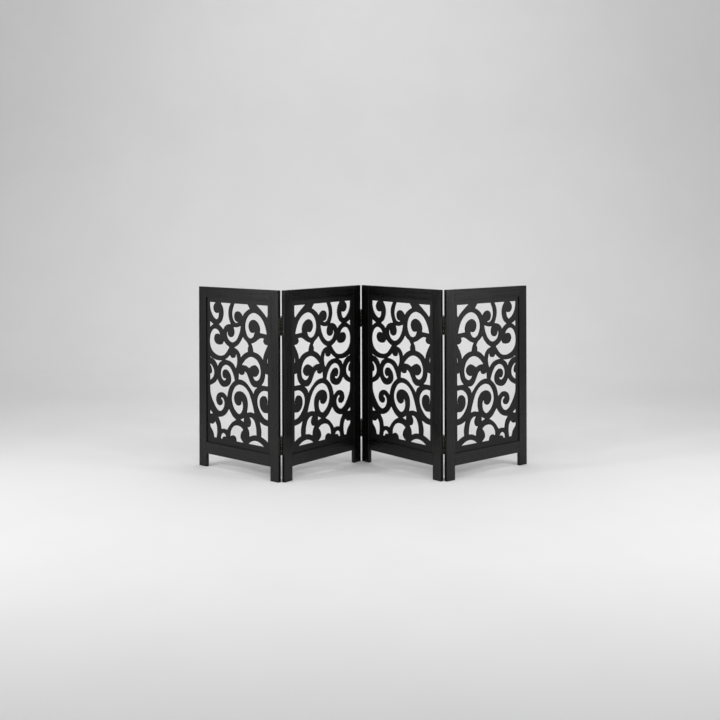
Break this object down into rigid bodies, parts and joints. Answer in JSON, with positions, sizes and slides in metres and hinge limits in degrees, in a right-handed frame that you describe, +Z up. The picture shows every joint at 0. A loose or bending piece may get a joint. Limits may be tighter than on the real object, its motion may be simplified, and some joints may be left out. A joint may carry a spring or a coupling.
{
  "type": "folding fireplace screen",
  "caption": "Folding fireplace screen whose black wooden panels, filled with scrolling fretwork, stand in a zig-zag on short legs and turn on small dark brass butt hinges.",
  "frame": {"origin": "centre of the footprint on the floor, screen standing in its zig-zag", "axes": "+X along the row of panels from the first to the last, +Y from front to back, +Z up"},
  "size_m": [1.1184, 0.2916, 0.61],
  "materials": {
    "frame_wood": "satin black paint, brushed along the grain",
    "fret_board": "flat black paint",
    "dowel_wood": "bare beech",
    "hinge_brass": "dark aged brass"
  },
  "bodies": {
    "panel_1": {"panel_1_left_stile": "frame_wood", "panel_1_right_stile": "frame_wood", "panel_1_top_rail": "frame_wood", "panel_1_bottom_rail": "frame_wood", "panel_1_fret": "fret_board", "panel_1_bottom_left_dowel": "dowel_wood", "panel_1_bottom_right_dowel": "dowel_wood", "panel_1_top_left_dowel": "dowel_wood", "panel_1_top_right_dowel": "dowel_wood", "fold_1_2_lower_leaf_a": "hinge_brass", "fold_1_2_upper_leaf_a": "hinge_brass"},
    "panel_2": {"panel_2_left_stile": "frame_wood", "panel_2_right_stile": "frame_wood", "panel_2_top_rail": "frame_wood", "panel_2_bottom_rail": "frame_wood", "panel_2_fret": "fret_board", "panel_2_bottom_left_dowel": "dowel_wood", "panel_2_bottom_right_dowel": "dowel_wood", "panel_2_top_left_dowel": "dowel_wood", "panel_2_top_right_dowel": "dowel_wood", "fold_1_2_lower_leaf_b": "hinge_brass", "fold_1_2_lower_pin": "hinge_brass", "fold_1_2_upper_leaf_b": "hinge_brass", "fold_1_2_upper_pin": "hinge_brass", "fold_2_3_lower_leaf_a": "hinge_brass", "fold_2_3_lower_pin": "hinge_brass", "fold_2_3_upper_leaf_a": "hinge_brass", "fold_2_3_upper_pin": "hinge_brass"},
    "panel_3": {"panel_3_left_stile": "frame_wood", "panel_3_right_stile": "frame_wood", "panel_3_top_rail": "frame_wood", "panel_3_bottom_rail": "frame_wood", "panel_3_fret": "fret_board", "panel_3_bottom_left_dowel": "dowel_wood", "panel_3_bottom_right_dowel": "dowel_wood", "panel_3_top_left_dowel": "dowel_wood", "panel_3_top_right_dowel": "dowel_wood", "fold_2_3_lower_leaf_b": "hinge_brass", "fold_2_3_upper_leaf_b": "hinge_brass", "fold_3_4_lower_leaf_a": "hinge_brass", "fold_3_4_lower_pin": "hinge_brass", "fold_3_4_upper_leaf_a": "hinge_brass", "fold_3_4_upper_pin": "hinge_brass"},
    "panel_4": {"panel_4_left_stile": "frame_wood", "panel_4_right_stile": "frame_wood", "panel_4_top_rail": "frame_wood", "panel_4_bottom_rail": "frame_wood", "panel_4_fret": "fret_board", "panel_4_bottom_left_dowel": "dowel_wood", "panel_4_bottom_right_dowel": "dowel_wood", "panel_4_top_left_dowel": "dowel_wood", "panel_4_top_right_dowel": "dowel_wood", "fold_3_4_lower_leaf_b": "hinge_brass", "fold_3_4_upper_leaf_b": "hinge_brass"}
  },
  "joints": [
    {"name": "fold_1_2", "type": "hinge", "parent": "panel_2", "child": "panel_1", "pos_m": [-0.26055, -0.13661, 0], "axis": [0, 0, 1], "range_deg": [-91.8, 88.2]},
    {"name": "fold_2_3", "type": "hinge", "parent": "panel_2", "child": "panel_3", "pos_m": [-0.00594, 0.138, 0], "axis": [0, 0, 1], "range_deg": [-82.9, 97.1]},
    {"name": "fold_3_4", "type": "hinge", "parent": "panel_3", "child": "panel_4", "pos_m": [0.2567, -0.12894, 0], "axis": [0, 0, 1], "range_deg": [-85.5, 94.5]}
  ]
}
